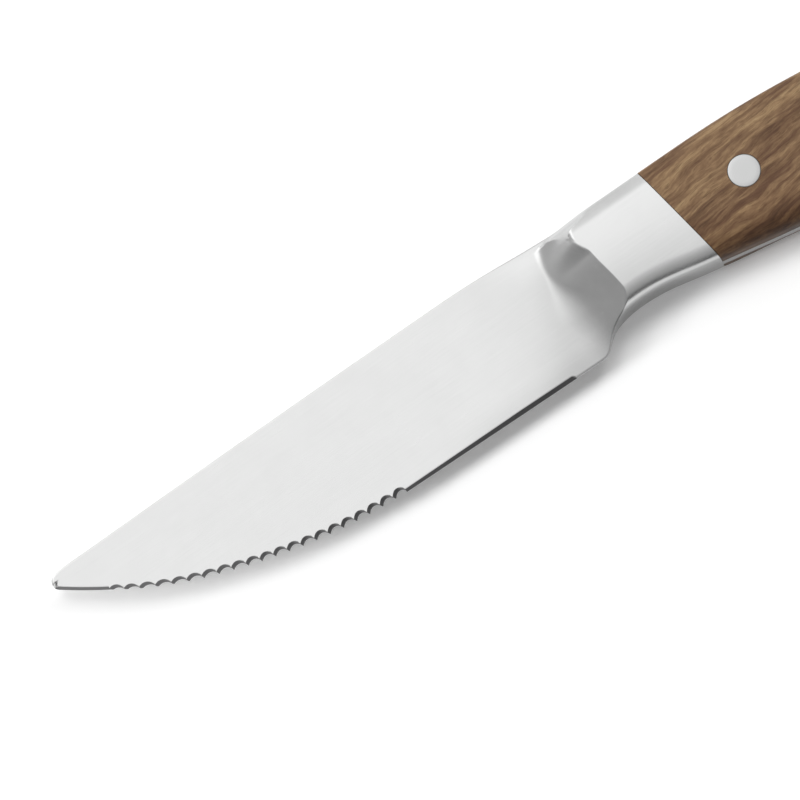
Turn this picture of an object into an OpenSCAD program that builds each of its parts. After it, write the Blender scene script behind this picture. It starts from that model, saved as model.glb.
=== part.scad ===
// Steak knife with a serrated blade, a forged bolster, a full tang and two riveted wooden scales.
// It lies on its side. +X runs from the tip to the butt, +Y from the cutting edge to the spine, and +Z up.

/* [Blade] */
// Length of the blade from the tip to the heel end of the cutting edge, along the knife
blade_l = 112.5; // [104:0.1:120]
// Height of the blade at the heel, from the cutting edge to the spine
blade_h = 25.8; // [24:0.1:28]
// Straight part of the cutting edge, from the heel to where the belly starts to curve up
straight_edge_l = 45.6; // [43:0.1:47]
// Slope of the straight part of the cutting edge, down towards the heel
edge_slope = 0.9; // [0:0.1:2]
// How far the tip lies below the back of the bolster
tip_drop = 1.4; // [1:0.1:2]
// Distance from the tip to where the spine has risen from the point and runs nearly level
point_l = 9.2; // [7:0.1:12]
// Rise of the spine there over the back of the bolster
point_rise = 0.55; // [0.3:0.05:0.8]
// Distance from the tip to the highest place of the spine
peak_l = 92; // [86:0.5:97]
// Rise of the spine there over the back of the bolster
peak_rise = 1.35; // [0.9:0.05:1.8]
// Length of the rounding at the very tip
nose_l = 0.8; // [0.5:0.05:1.2]
// Thickness of the blade at the spine, next to the bolster
spine_t = 2.4; // [2:0.05:2.5]
// Thickness of the blade behind the cutting edge, next to the heel
edge_t = 0.9; // [0.8:0.05:1.1]
// How much thinner the blade gets from the bolster to the tip
taper_t = 0.66; // [0.4:0.02:0.75]

/* [Cutting edge] */
// Number of scallops along the belly
tooth_n = 21; // [15:1:21]
// Distance from one scallop to the next, along the edge
tooth_pitch = 2.9; // [2.7:0.02:3]
// Depth of a scallop on the ground face of the blade
tooth_depth = 1.5; // [1.2:0.05:1.7]
// Radius of the wheel's edge that grinds a scallop
tooth_r = 1.75; // [1.65:0.05:2]
// Lean of the scallops away from upright
tooth_lean = 36; // [32:1:42]
// Edge next to the heel that has no bevel; the bevel runs from there to the scallops
unground_l = 6.5; // [4:0.1:9]
// Width of the bevel on the plain edge
bevel_w = 0.8; // [0.65:0.05:1]
// Width of the bevel on the plain edge at the tip
tip_bevel_w = 0.45; // [0.35:0.05:0.6]

/* [Bolster] */
// Distance from the heel end of the cutting edge to the scales, along the knife
bolster_l = 27.5; // [26.5:0.1:30]
// Length of the bolster's full thickness, from the crest of the scoop to the scales
crest_l = 17.3; // [15:0.1:18]
// Lean of the crest away from square to the knife
crest_slant = 12.6; // [9:0.1:14]
// Width of the scoop that joins the bolster to the blade, where it is widest
scoop_w = 9.4; // [8.6:0.1:10]
// Radius of the scoop
scoop_r = 40; // [30:1:60]
// Lean of the joint with the scales
slant = 9.6; // [5:0.1:12]
// Distance from the scales to where the back of the bolster starts to rise towards the blade
level_l = 12.9; // [11:0.1:15]
// Height of the bolster at its narrowest, at the choil
choil_h = 20.7; // [20:0.1:22]
// Distance from the scales to the narrowest place
choil_x = 14.9; // [13:0.1:16]
// Distance from the scales to the steepest place of the choil
choil_turn_x = 23.7; // [22.8:0.1:24.6]
// Height of the bolster at the joint with the scales
seam_h = 23; // [22.5:0.1:25]

/* [Handle] */
// Length of the handle from the scales' front to the butt
handle_l = 107.5; // [104:0.5:114]
// Thickness of the handle and of the bolster
grip_t = 14; // [12:0.1:17]
// Thickness of the tang between the scales
tang_t = 2.6; // [2.5:0.05:3.2]
// Distance from the scales' front to where the back of the handle starts to fall
crown_x = 5; // [2:0.1:9]
// Distance from the scales' front to where the handle is rounded off into the butt
butt_x = 97.3; // [96:0.1:99]
// How far the back of the handle has fallen there below the back of the bolster
back_fall = 13.8; // [12:0.1:15.5]
// Depth of the handle's underside below the back of the bolster at the butt
butt_depth = 34.5; // [32.5:0.1:36.5]
// Distance from the scales' front to the swell of the underside
swell_x = 38; // [34:0.1:42]
// Depth of the underside below the back of the bolster at the swell
swell_depth = 28; // [27:0.1:30]
// Distance from the scales' front to the waist of the underside
waist_x = 68; // [64:0.1:72]
// Depth of the underside below the back of the bolster at the waist
waist_depth = 28.4; // [27.5:0.1:30]
// Width of the rounding along the back of the handle
back_round = 3.4; // [2.6:0.1:4]
// Width of the rounding along the underside of the handle
under_round = 4; // [3:0.1:5]

/* [Rivets] */
// Distance of the first rivet from the scales' front
rivet_x = 15.1; // [12:0.1:18]
// Distance from one rivet to the next
rivet_pitch = 36; // [30:0.5:39]
// Diameter of a rivet's head
head_d = 6.5; // [5.5:0.1:7.5]
// Thickness of a rivet's head
head_t = 1.4; // [1:0.1:1.8]
// Outside diameter of the rivet's tube
tube_d = 4.4; // [4:0.1:5]
// Diameter of the post that is pressed into the tube
post_d = 3; // [2.4:0.1:3.2]

/* [Hidden] */
$fn = 96;

steel = [0.80, 0.80, 0.79];
rivet_steel = [0.86, 0.86, 0.85];
wood = [0.45, 0.31, 0.20];

// Counts of steps along the curves
curve_steps = 8;
tight_steps = 6;
belly_steps = 36;

// Rounding of the grip's sides, level by level: the height above the tang, as a share of the rise from the
// tang to the flat face, and how far in the surface of the back and of the underside has come there, as
// shares of the widths of their roundings. The back is steep and eased at the top; the underside is round.
round_z_shares = [0, 0.25, 0.45, 0.62, 0.72, 0.80, 0.87, 0.94, 0.98, 1];
back_in_shares = [0, 0.007, 0.03, 0.07, 0.113, 0.187, 0.358, 0.6, 0.804, 1];
under_in_shares = [0, 0.047, 0.14, 0.263, 0.361, 0.459, 0.567, 0.713, 0.843, 1];
round_levels = len(round_z_shares) - 1;

rivet_n = 3;
// Radial room round a rivet in its holes, and room round the post in its tube
rivet_room = 0.04;
post_room = 0.02;
// Space that a rivet's tube and post leave before the opposite head
rivet_end_gap = 0.6;
// Place of the rivets between the underside and the back of the handle
rivet_height_share = 0.53;

// Land that the bevels leave on the cutting edge
edge_land = 0.08;
// How far every cut runs past what it cuts
over = 1;
// A length longer than the knife, and one higher than it, for the halves of space
reach = 2 * (blade_l + bolster_l + handle_l);

// The knife's own frame has its origin on the joint with the scales, at this share of the blade's height
// below the back of the bolster.
origin_share = 0.469;
spine_y = origin_share * blade_h;
edge_y = spine_y - blade_h;
heel_x = -bolster_l;
tip_x = heel_x - blade_l;
tip_y = spine_y - tip_drop;

// The belly is one arc that leaves the straight edge smoothly and ends at the tip.
// Places on it go by the angle from straight down, towards the tip.
belly_start = [heel_x - straight_edge_l, edge_y + straight_edge_l * tan(edge_slope)];
belly_reach = [tip_x, tip_y] - belly_start;
belly_r = belly_reach * belly_reach / (2 * belly_reach * heading(90 - edge_slope));
belly_centre = belly_start + belly_r * heading(90 - edge_slope);
belly_angle = -90 - atan2(tip_y - belly_centre[1], tip_x - belly_centre[0]);
tooth_angle = tooth_pitch / belly_r * 180 / PI;
teeth_end_angle = edge_slope + tooth_n * tooth_angle;

// Half thickness of the blade: it falls from the spine to the edge, and from the bolster to the tip.
wedge_slope = (spine_t - edge_t) / 2 / blade_h;
taper_slope = taper_t / 2 / blade_l;
function face_z(p) = spine_t / 2 - wedge_slope * (spine_y - p[1]) + taper_slope * (p[0] - heel_x);

// A knot of an outline is its place and the heading there. Between two knots runs one smooth curve,
// which keeps to each heading for this share of the distance between them.
pull_share = 0.38;
function heading(angle) = [cos(angle), sin(angle)];
function bezier(a, b, c, d, t) =
    pow(1 - t, 3) * a + 3 * pow(1 - t, 2) * t * b + 3 * (1 - t) * t * t * c + pow(t, 3) * d;
function span(from, to, steps) =
    let (pull = pull_share * norm(to[0] - from[0]))
    [
        for (i = [0:steps - 1])
            bezier(from[0], from[0] + pull * heading(from[1]), to[0] - pull * heading(to[1]), to[0], i / steps)
    ];

// Spine of the blade, from the rounded point over the rise to the back of the bolster.
nose_angle = nose_l / belly_r * 180 / PI;
point_angle = 28;
spine_knots = [
    [belly_centre + belly_r * heading(nose_angle - belly_angle - 90), 180 + nose_angle - belly_angle],
    [[tip_x, tip_y] + nose_l * heading(point_angle), point_angle],
    [[tip_x + point_l, spine_y + point_rise], 0.8],
    [[tip_x + peak_l, spine_y + peak_rise], 0],
    [[-level_l, spine_y], 0]
];
spine_path = [
    each span(spine_knots[0], spine_knots[1], tight_steps),
    each span(spine_knots[1], spine_knots[2], tight_steps),
    each span(spine_knots[2], spine_knots[3], 2 * curve_steps)
];
shoulder_path = [each span(spine_knots[3], spine_knots[4], 2 * curve_steps), spine_knots[4][0]];

// Back of the handle, then its butt, whose end lies at this share of the height there.
butt_share = 0.5;
back_knots = [
    [[crown_x, spine_y], 0],
    [[butt_x, spine_y - back_fall], -15.8]
];
butt_knot = [[handle_l, spine_y - back_fall - butt_share * (butt_depth - back_fall)], -90];
back_path = [each span(back_knots[0], back_knots[1], 2 * curve_steps), back_knots[1][0]];

// Underside of the handle from the butt to the bolster, then the choil, up to the cutting edge.
under_knots = [
    [[butt_x, spine_y - butt_depth], 180],
    [[waist_x, spine_y - waist_depth], 179],
    [[swell_x, spine_y - swell_depth], 180],
    [[0, spine_y - seam_h], 170]
];
choil_knots = [
    [[-choil_x, spine_y - choil_h], 180],
    [[-choil_turn_x, (spine_y - choil_h + edge_y) / 2], 219],
    [[heel_x, edge_y], 180 - edge_slope]
];
butt_path = [
    each span(back_knots[1], butt_knot, tight_steps),
    each span(butt_knot, under_knots[0], tight_steps)
];
under_path = [
    each span(under_knots[0], under_knots[1], curve_steps),
    each span(under_knots[1], under_knots[2], curve_steps),
    each span(under_knots[2], under_knots[3], curve_steps),
    each span(under_knots[3], choil_knots[0], curve_steps)
];
choil_path = [
    each span(choil_knots[0], choil_knots[1], tight_steps),
    each span(choil_knots[1], choil_knots[2], tight_steps),
    choil_knots[2][0]
];

// Grip's outline: bolster, handle and choil, clockwise from the bolster's front corner.
// Its upper and lower sides have the same count of points, and the butt's tip is the middle one.
front_path = [for (p = shoulder_path) if (p[0] > heel_x) p];
flat_steps = 2 * curve_steps + 2 * tight_steps - len(front_path);
flat_path = [for (i = [1:flat_steps]) [(crown_x + level_l) * i / (flat_steps + 1) - level_l, spine_y]];
grip_path = [
    each front_path,
    each flat_path,
    each span(back_knots[0], back_knots[1], 2 * curve_steps),
    each butt_path,
    each under_path,
    each choil_path
];
butt_i = floor(len(grip_path) / 2);

// The whole knife's outline: handle, choil, belly, spine and back, clockwise from the handle's crown.
belly_path = [
    for (i = [0:belly_steps - 1])
        let (angle = edge_slope + (belly_angle - nose_angle - edge_slope) * i / belly_steps)
        belly_centre + belly_r * heading(-90 - angle)
];
knife_path = [
    each span(back_knots[0], back_knots[1], 2 * curve_steps),
    each butt_path,
    each under_path,
    each choil_path,
    each belly_path,
    each spine_path,
    each shoulder_path
];

// Centre of the knife's box, which becomes the origin.
box_x = (min([for (p = knife_path) p[0]]) + handle_l) / 2;
box_y = (min([for (p = knife_path) p[1]]) + max([for (p = knife_path) p[1]])) / 2;

// Height of a rivet over the underside, found from the two sides of the handle.
function rivet_place(i) =
    let (x = rivet_x + i * rivet_pitch)
    let (back = lookup(x, back_path))
    let (under = lookup(x, under_path))
    [x, under + rivet_height_share * (back - under)];

// Moves a piece from the knife's own frame into the part's frame.
module placed() {
    translate([-box_x, -box_y, grip_t / 2]) children();
}

// Carries a shape made over the origin to a distance along the knife, and turns it by a lean.
module slanted(x, lean) {
    translate([x, 0, 0]) rotate([0, 0, lean]) children();
}

// Half of space on the blade's side of the joint with the scales.
module blade_side() {
    slanted(0, slant) translate([-reach, -reach / 2, -reach / 2]) cube(reach);
}

// Sides of the grip, with the long edges rounded over towards the flat faces.
function outward(i) =
    let (n = len(grip_path))
    let (d = grip_path[min(i + 1, n - 1)] - grip_path[max(i - 1, 0)])
    [-d[1], d[0]] / norm(d);
sides = [for (i = [0:len(grip_path) - 1]) outward(i)];
function inset_at(i, level) =
    let (back = back_round * back_in_shares[level])
    let (under = under_round * under_in_shares[level])
    sides[i] * (back + (under - back) * (1 - sides[i][1]) / 2);
function ring(sign, level) =
    let (z = tang_t / 2 + (grip_t - tang_t) / 2 * round_z_shares[level])
    [for (i = [0:len(grip_path) - 1]) concat(grip_path[i] - inset_at(i, level), sign * z)];

// Solid between rings stacked upwards, with each flat end filled by strips across the grip.
module stack(rings) {
    n = len(grip_path);
    top = (len(rings) - 1) * n;
    strips = [
        for (i = [0:butt_i - 1]) [i, i + 1, n - 1 - i],
        for (i = [0:butt_i - 2]) [i + 1, n - 2 - i, n - 1 - i]
    ];
    walls = [
        for (level = [0:len(rings) - 2], i = [0:n - 1])
            let (j = (i + 1) % n)
            each [
                [level * n + i, level * n + j, (level + 1) * n + j],
                [level * n + i, (level + 1) * n + j, (level + 1) * n + i]
            ]
    ];
    polyhedron(
        points = [for (r = rings) each r],
        faces = [
            for (f = strips) [f[2], f[1], f[0]],
            for (f = strips) [top + f[0], top + f[1], top + f[2]],
            each walls
        ]
    );
}
module grip_half() stack([for (level = [0:round_levels]) ring(1, level)]);
module grip_full() stack([
    for (level = [round_levels:-1:0]) ring(-1, level),
    for (level = [0:round_levels]) ring(1, level)
]);

// Space above one face of the blade, from its wedge plane up, and inside the scoop in front of the crest.
module blade_grind() {
    scoop_drop = grip_t / 2 - face_z([-crest_l - scoop_w, spine_y - choil_h]);
    chord = norm([scoop_w, scoop_drop]);
    chord_angle = atan2(scoop_drop, scoop_w);
    rise = sqrt(scoop_r * scoop_r - chord * chord / 4);
    axis_x = -scoop_w / 2 - rise * sin(chord_angle);
    axis_z = grip_t / 2 - scoop_drop / 2 + rise * cos(chord_angle);
    intersection() {
        translate([heel_x, spine_y, spine_t / 2])
            rotate([atan(wedge_slope), -atan(taper_slope), 0])
                translate([-reach / 2, -reach / 2, 0]) cube([reach, reach, reach / 2]);
        slanted(-crest_l, crest_slant) {
            translate([axis_x, 0, axis_z])
                rotate([90, 0, 0]) cylinder(h = reach / 2, r = scoop_r, center = true, $fn = 300);
            translate([axis_x - reach / 2, -reach / 4, 0]) cube([reach / 2, reach / 2, reach]);
        }
    }
}

// Tool for one scallop: a leaning cylinder that cuts the upper face deeper than the lower one.
module scallop(i) {
    angle = edge_slope + (i + 0.5) * tooth_angle;
    inward = -heading(-90 - angle);
    place = belly_centre - belly_r * inward;
    axis_gap = tooth_r / cos(tooth_lean) - tooth_depth;
    tool_l = 4 * tooth_r;
    translate(concat(place - axis_gap * inward, face_z(place)))
        rotate([0, 0, 90 - angle]) rotate([0, tooth_lean, 0])
            cylinder(h = tool_l, r = tooth_r, center = true, $fn = 48);
}

// Bevel ground on the upper face along the straight plain edge.
module plain_bevel() {
    bevel_l = straight_edge_l / cos(edge_slope) - unground_l;
    middle = belly_start + bevel_l / 2 * heading(-edge_slope);
    depth = 2 * face_z(middle) - edge_land;
    translate(concat(belly_start, edge_land - face_z(middle))) rotate([0, 0, -edge_slope])
        rotate([atan(depth / bevel_w), 0, 0])
            translate([0, -over, 0]) cube([bevel_l, over + 3 * bevel_w, over]);
}

// Bevel ground on the upper face along the curved plain edge at the tip.
module tip_bevel() {
    place = belly_centre + belly_r * heading(-90 - (teeth_end_angle + belly_angle) / 2);
    top = face_z(place);
    depth = 2 * top - edge_land;
    turn = belly_angle - teeth_end_angle;
    translate(belly_centre) rotate([0, 0, -90 - belly_angle])
        rotate_extrude(angle = turn, $fn = 360)
            polygon([
                [belly_r - tip_bevel_w * (1 + over / depth), top + over],
                [belly_r, top - depth],
                [belly_r + over, top - depth],
                [belly_r + over, top + over]
            ]);
}

// Hole for a rivet's tube through the tang.
module tang_hole(i) {
    translate(rivet_place(i))
        cylinder(h = tang_t + 2 * over, d = tube_d + 2 * rivet_room, center = true);
}

// Blade, bolster and full tang, forged and ground from one piece.
module forged_blade() {
    color(steel) placed() difference() {
        union() {
            translate([0, 0, -tang_t / 2]) linear_extrude(tang_t) polygon(knife_path);
            intersection() {
                grip_full();
                blade_side();
            }
        }
        blade_grind();
        mirror([0, 0, 1]) blade_grind();
        for (i = [0:tooth_n - 1]) scallop(i);
        plain_bevel();
        tip_bevel();
        for (i = [0:rivet_n - 1]) tang_hole(i);
    }
}

// One wooden scale on the upper side of the tang, with three stepped rivet holes.
module scale_half() {
    difference() {
        grip_half();
        blade_side();
        for (i = [0:rivet_n - 1]) translate(rivet_place(i)) {
            cylinder(h = grip_t, d = tube_d + 2 * rivet_room);
            translate([0, 0, grip_t / 2 - head_t]) cylinder(h = grip_t, d = head_d + 2 * rivet_room);
        }
    }
}

module near_scale() {
    color(wood) placed() scale_half();
}

module far_scale() {
    color(wood) placed() mirror([0, 0, 1]) scale_half();
}

// Tube half of a rivet: a head flush with the near scale and a tube that reaches through the tang.
module rivet_tube(i) {
    tube_l = grip_t - head_t - rivet_end_gap;
    color(rivet_steel) placed() translate(rivet_place(i)) difference() {
        union() {
            translate([0, 0, grip_t / 2 - head_t]) cylinder(h = head_t, d = head_d);
            translate([0, 0, grip_t / 2 - tube_l]) cylinder(h = tube_l, d = tube_d);
        }
        translate([0, 0, -grip_t / 2]) cylinder(h = grip_t - head_t, d = post_d + 2 * post_room);
    }
}

// Post half of a rivet: a head flush with the far scale and a post that fills the tube.
module rivet_post(i) {
    post_l = grip_t - head_t - rivet_end_gap;
    color(rivet_steel) placed() translate(rivet_place(i)) {
        translate([0, 0, -grip_t / 2]) cylinder(h = head_t, d = head_d);
        translate([0, 0, -grip_t / 2]) cylinder(h = post_l, d = post_d);
    }
}

module front_rivet_tube() rivet_tube(0);
module middle_rivet_tube() rivet_tube(1);
module rear_rivet_tube() rivet_tube(2);
module front_rivet_post() rivet_post(0);
module middle_rivet_post() rivet_post(1);
module rear_rivet_post() rivet_post(2);

forged_blade();
near_scale();
far_scale();
front_rivet_tube();
middle_rivet_tube();
rear_rivet_tube();
front_rivet_post();
middle_rivet_post();
rear_rivet_post();
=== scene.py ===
"""Looks of the steak knife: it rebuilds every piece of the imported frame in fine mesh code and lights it."""
import math

import bmesh
import bpy
import numpy as np
from mathutils import Matrix, Vector


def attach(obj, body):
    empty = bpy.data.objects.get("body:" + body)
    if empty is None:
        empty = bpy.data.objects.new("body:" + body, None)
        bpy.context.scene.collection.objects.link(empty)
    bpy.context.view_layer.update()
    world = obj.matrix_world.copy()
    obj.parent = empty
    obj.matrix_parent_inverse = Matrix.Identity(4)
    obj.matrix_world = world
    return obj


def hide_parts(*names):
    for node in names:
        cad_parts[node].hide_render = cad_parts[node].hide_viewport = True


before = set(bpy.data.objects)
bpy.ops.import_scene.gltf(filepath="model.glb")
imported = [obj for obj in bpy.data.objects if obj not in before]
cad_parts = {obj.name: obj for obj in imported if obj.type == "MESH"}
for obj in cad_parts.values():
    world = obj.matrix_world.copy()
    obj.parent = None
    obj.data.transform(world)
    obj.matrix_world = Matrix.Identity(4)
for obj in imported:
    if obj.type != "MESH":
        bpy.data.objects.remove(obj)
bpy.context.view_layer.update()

# Sizes in millimetres, in the knife's own frame: the origin lies on the joint with the scales, half way
# through the thickness, +X runs to the butt and +Y to the spine. HOME carries it into the part's frame.
HOME = np.array([16.0194, 4.4748, 7.0])
SPINE_Y, EDGE_Y, HEEL_X = 12.1002, -13.6998, -27.5
# Half thickness of the tang and of the handle, and the lean in degrees of the joint between bolster and scales.
TANG, GRIP, SLANT = 1.3, 7.0, 9.6
# Rounding along the back and the underside, the upright part of each, and the crown of the broad faces.
BACK_ROUND, BACK_EDGE, UNDER_ROUND, UNDER_EDGE, CROWN = 3.4, 0.7, 3.5, 0.12, 0.62
# The belly is an arc from the straight edge to the point. Its angles in degrees start straight down.
BELLY_C, BELLY_R, EDGE_SLOPE, BELLY_END = np.array([-71.3521, 98.2831]), 111.28, 0.9, 38.0895
NOSE = math.degrees(1.2 / BELLY_R)
TOOTH_N, TOOTH_PITCH, TOOTH_R, TOOTH_SHEAR = 21, 2.9, 1.75, 0.35
TIP_BEVEL_W, BEVEL_END_X, LAND = 0.4, -34.0, 0.05
# The scoop: place and lean of its crest line, its width, and the climb of its wall past the foot line.
CREST_X, CREST_SLANT, SCOOP_W = -17.3, 12.6, 8.9
WALL_Z, WALL_SLOPE, WALL_CURVE = 1.25, 0.53, 0.011
# Near the spine the crest bends towards the blade, from BEND_Y on, and the foot line bends the other way.
BEND_Y, BEND_REACH, CREST_BEND, FOOT_BEND, FOOT_POWER, END_SLOPE = 4.8, 6.6, 4.6, 0.0115, 2.36, 2
# Rivets: places, the radii and thickness of their parts, and the room round the tube and the head.
RIVETS = [(15.1, -0.096), (51.1, -2.801), (87.1, -9.199)]
HEAD_R, HEAD_T, TUBE_R, BORE_R, POST_R, ROOM, HEAD_ROOM = 3.25, 1.4, 2.2, 1.52, 1.5, 0.04, 0.02
# Narrow gap between the bolster and the scales.
SEAM = 0.12
# How far down and in the edge of the spine and the blunt edge at the heel are eased.
EASE_Z, EASE_W, BLUNT_Z, BLUNT_W = 0.22, 0.28, 0.20, 0.4
# Meshes turn sharp past these angles, in degrees.
SHARP, TURNED_SHARP = 32, 40

# What changes along the belly, each as distances from the straight edge and the values there: how far the
# belly swells off its arc, how deep the scallops are ground, how far their wheel leans in over the blade's
# thickness, and how far the hand-ground pitch wanders.
SWELL = ((0, 4, 25, 33, 45, 56, 61), (0.10, 0.0, 0.0, 0.12, 0.18, 0.20, 0.0))
TOOTH_DEPTH = ((0, 34, 38, 43, 48, 53, 58, 61), (1.55, 1.60, 1.55, 1.3, 1.1, 1.0, 0.85, 0.75))
TOOTH_LEAN = ((0, 40, 60), (0.65, 0.55, 0.42))
WANDER = ((0, 8, 17, 26, 33, 38, 44, 49, 53, 56), (0.15, 0.15, 0.35, 0.5, 0.8, 0.8, 0.6, 0.4, 0.1, -0.1))


def heading(degrees):
    """Unit step in a heading, in degrees from +X."""
    return np.array([math.cos(math.radians(degrees)), math.sin(math.radians(degrees))])


def span(start, end, steps, pull_share=0.38):
    """Smooth curve between two knots, each a place and a heading, without its last point."""
    (a, ha), (d, hd) = start, end
    a, d = np.array(a, float), np.array(d, float)
    pull = pull_share * np.linalg.norm(d - a)
    b, c = a + pull * heading(ha), d - pull * heading(hd)
    t = (np.arange(steps) / steps)[:, None]
    return (1 - t) ** 3 * a + 3 * (1 - t) ** 2 * t * b + 3 * (1 - t) * t * t * c + t**3 * d


def smooth(low, high, x):
    """Eased step from 0 at low to 1 at high."""
    t = np.clip((np.asarray(x, float) - low) / (high - low), 0, 1)
    return t * t * (3 - 2 * t)


def along_belly(degrees):
    """Distance along the belly from its start at the straight edge."""
    return math.radians(degrees - EDGE_SLOPE) * BELLY_R


def on_belly(degrees):
    """Place on the belly, by the angle from straight down towards the tip."""
    swell = np.interp(along_belly(degrees), *SWELL)
    return BELLY_C + (BELLY_R + float(swell)) * heading(-90 - degrees)


# Outline: the upper side runs from the point over the spine and the back to the butt, the lower side from
# the point along the belly, the edge, the choil and the underside to the same place on the butt.
knots = [
    (on_belly(BELLY_END - NOSE), 180 + NOSE - BELLY_END),
    ((-139.25, 11.7), 60),
    ((-137.2, SPINE_Y + 0.52), 6),
    ((-130.8, SPINE_Y + 0.72), 0.8),
    ((-48.0, SPINE_Y + 1.35), 0),
    ((-12.9, SPINE_Y), 0),
    ((5.0, SPINE_Y), 0),
    ((36.0, SPINE_Y - 1.78), -6.6),
    ((97.3, SPINE_Y - 13.8), -15.8),
    ((107.5, SPINE_Y - 24.15), -90),
    ((97.3, SPINE_Y - 34.5), 180),
    ((68.0, SPINE_Y - 28.4), 179),
    ((38.0, SPINE_Y - 28.0), 180),
    ((0.0, SPINE_Y - 23.0), 170),
    ((-14.9, SPINE_Y - 20.7), 180),
    ((-23.7, (SPINE_Y - 20.7 + EDGE_Y) / 2), 219),
    ((HEEL_X, EDGE_Y), 180 - EDGE_SLOPE),
]
BUTT_I = 9
# Steps along the curve from each knot to the next.
counts = [30, 20, 24, 60, 60, 30, 40, 60, 48, 48, 40, 40, 40, 40, 36, 36]
curves = [span(knots[i], knots[i + 1], n) for i, n in enumerate(counts)]
butt = np.array(knots[BUTT_I][0])
upper = np.vstack([*curves[:BUTT_I], butt[None]])
belly_start = on_belly(EDGE_SLOPE)
heel = np.array([HEEL_X, EDGE_Y])
lower = np.vstack([*curves[BUTT_I:], heel[None], belly_start[None]])[::-1]
belly = np.array([on_belly(a) for a in np.linspace(BELLY_END - NOSE, EDGE_SLOPE, 400)])
lower = np.vstack([belly[:-1], lower])


def distance(points, path, step=0.3, batch=4000):
    """Distance of each point from a path of straight steps, which are first cut to at most the given step."""
    fine = [path[:1]]
    for a, b in zip(path[:-1], path[1:]):
        n = max(1, math.ceil(np.linalg.norm(b - a) / step))
        fine.append(a + (b - a) * (np.arange(1, n + 1) / n)[:, None])
    fine = np.vstack(fine)
    best = np.empty(len(points))
    for start in range(0, len(points), batch):
        p = points[start:start + batch]
        gaps = (p[:, None, 0] - fine[None, :, 0]) ** 2 + (p[:, None, 1] - fine[None, :, 1]) ** 2
        near = np.clip(gaps.argmin(axis=1), 1, len(fine) - 2)
        found = np.full(len(p), 1e9)
        for first in (near - 1, near):
            a, way = fine[first], fine[first + 1] - fine[first]
            t = np.clip(np.einsum("ij,ij->i", p - a, way) / np.einsum("ij,ij->i", way, way), 0, 1)
            off = p - a - t[:, None] * way
            found = np.minimum(found, np.einsum("ij,ij->i", off, off))
        best[start:start + batch] = found
    return np.sqrt(best)


def ray_hit(origin, way, path):
    """First place where a ray from origin meets a path."""
    a, e = path[:-1], path[1:] - path[:-1]
    det = way[0] * -e[:, 1] + way[1] * e[:, 0]
    det[np.abs(det) < 1e-12] = 1e-12
    w = a - origin
    t = (w[:, 0] * -e[:, 1] + w[:, 1] * e[:, 0]) / det
    s = (way[0] * w[:, 1] - way[1] * w[:, 0]) / det
    good = (s >= -1e-9) & (s <= 1 + 1e-9) & (t > 1e-6)
    return origin + way * t[good].min()


def face_z(x, y):
    """Half thickness of the blade, which tapers to the edge and to the tip."""
    return 1.2 - 0.75 / 25.8 * (SPINE_Y - y) + 0.33 / 112.5 * (x - HEEL_X)


def arch(d, width, power):
    """Share of the full height at a distance from a rounded side: power 2 makes a quarter of an ellipse."""
    t = np.clip(1 - d / width, 0, 1)
    return np.clip(1 - t**power, 0, 1) ** (1 / power)


def back_rounding(d):
    """Share of the full height at a distance from the back: a steep side, eased over towards the face."""
    return 0.66 * arch(d, BACK_EDGE, 2.4) + 0.34 * arch(d, BACK_ROUND, 1.5)


def under_rounding(d):
    """The same for the underside: a short upright side, then a quarter circle."""
    return 0.386 * arch(d, UNDER_EDGE, 2) + 0.614 * arch(d, UNDER_ROUND, 2)


def grip_z(d_up, d_low):
    """Half thickness of the bolster and the handle: rounded sides and a slightly crowned face."""
    share = np.minimum(back_rounding(d_up), under_rounding(d_low))
    half = np.maximum((d_up + d_low) / 2, 0.01)
    near = np.clip(1 - np.minimum(d_up, d_low) / half, 0, 1)
    return TANG + share * (GRIP - TANG - CROWN * near**2)


def soft_max(a, b, k):
    """The larger of two heights, with a fillet where they come closer than k."""
    return np.maximum(a, b) + np.clip(k - np.abs(a - b), 0, None) ** 2 / (4 * k)


def soft_min(a, b, k):
    """The smaller of two heights, rounded over where they come closer than k."""
    return np.minimum(a, b) - np.clip(k - np.abs(a - b), 0, None) ** 2 / (4 * k)


def scoop_wall(reach):
    """Half thickness on the scoop's wall, from its distance past the foot line."""
    reach = np.maximum(reach, -10)
    return WALL_Z + WALL_SLOPE * reach + WALL_CURVE * np.clip(reach, 0, None) ** 2


def scoop_z(x, y):
    """Half thickness of the scoop: a bowl between a foot line and a crest line, which close near the spine."""
    lean = math.tan(math.radians(CREST_SLANT))
    bend = np.clip((y - BEND_Y) / BEND_REACH, 0, 1)
    crest = CREST_X - lean * y - CREST_BEND * (1 - np.sqrt(1 - bend**2))
    crest = crest - END_SLOPE * np.clip(y - 11.4, 0, None)
    foot = CREST_X - SCOOP_W - lean * y + FOOT_BEND * np.clip(y, 0, None) ** FOOT_POWER
    foot = foot + END_SLOPE * np.clip(y - 11.2, 0, None)
    steep = 1.03 + 0.26 * smooth(3.5, 8, y) - 0.10 * smooth(8.5, 11, y)
    wall = scoop_wall((x - foot) * steep)
    # Past the crest a facet climbs to the bolster's face; near the spine it is long and gentle.
    past = x - crest
    climb = np.where(past > 0, (2 - 1.6 * smooth(7.5, 10.8, y)) * past, 0.15 * past)
    facet = scoop_wall((crest - foot) * steep) + climb
    return soft_min(wall, facet, 0.1 + 0.3 * smooth(3, 9, y))


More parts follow.
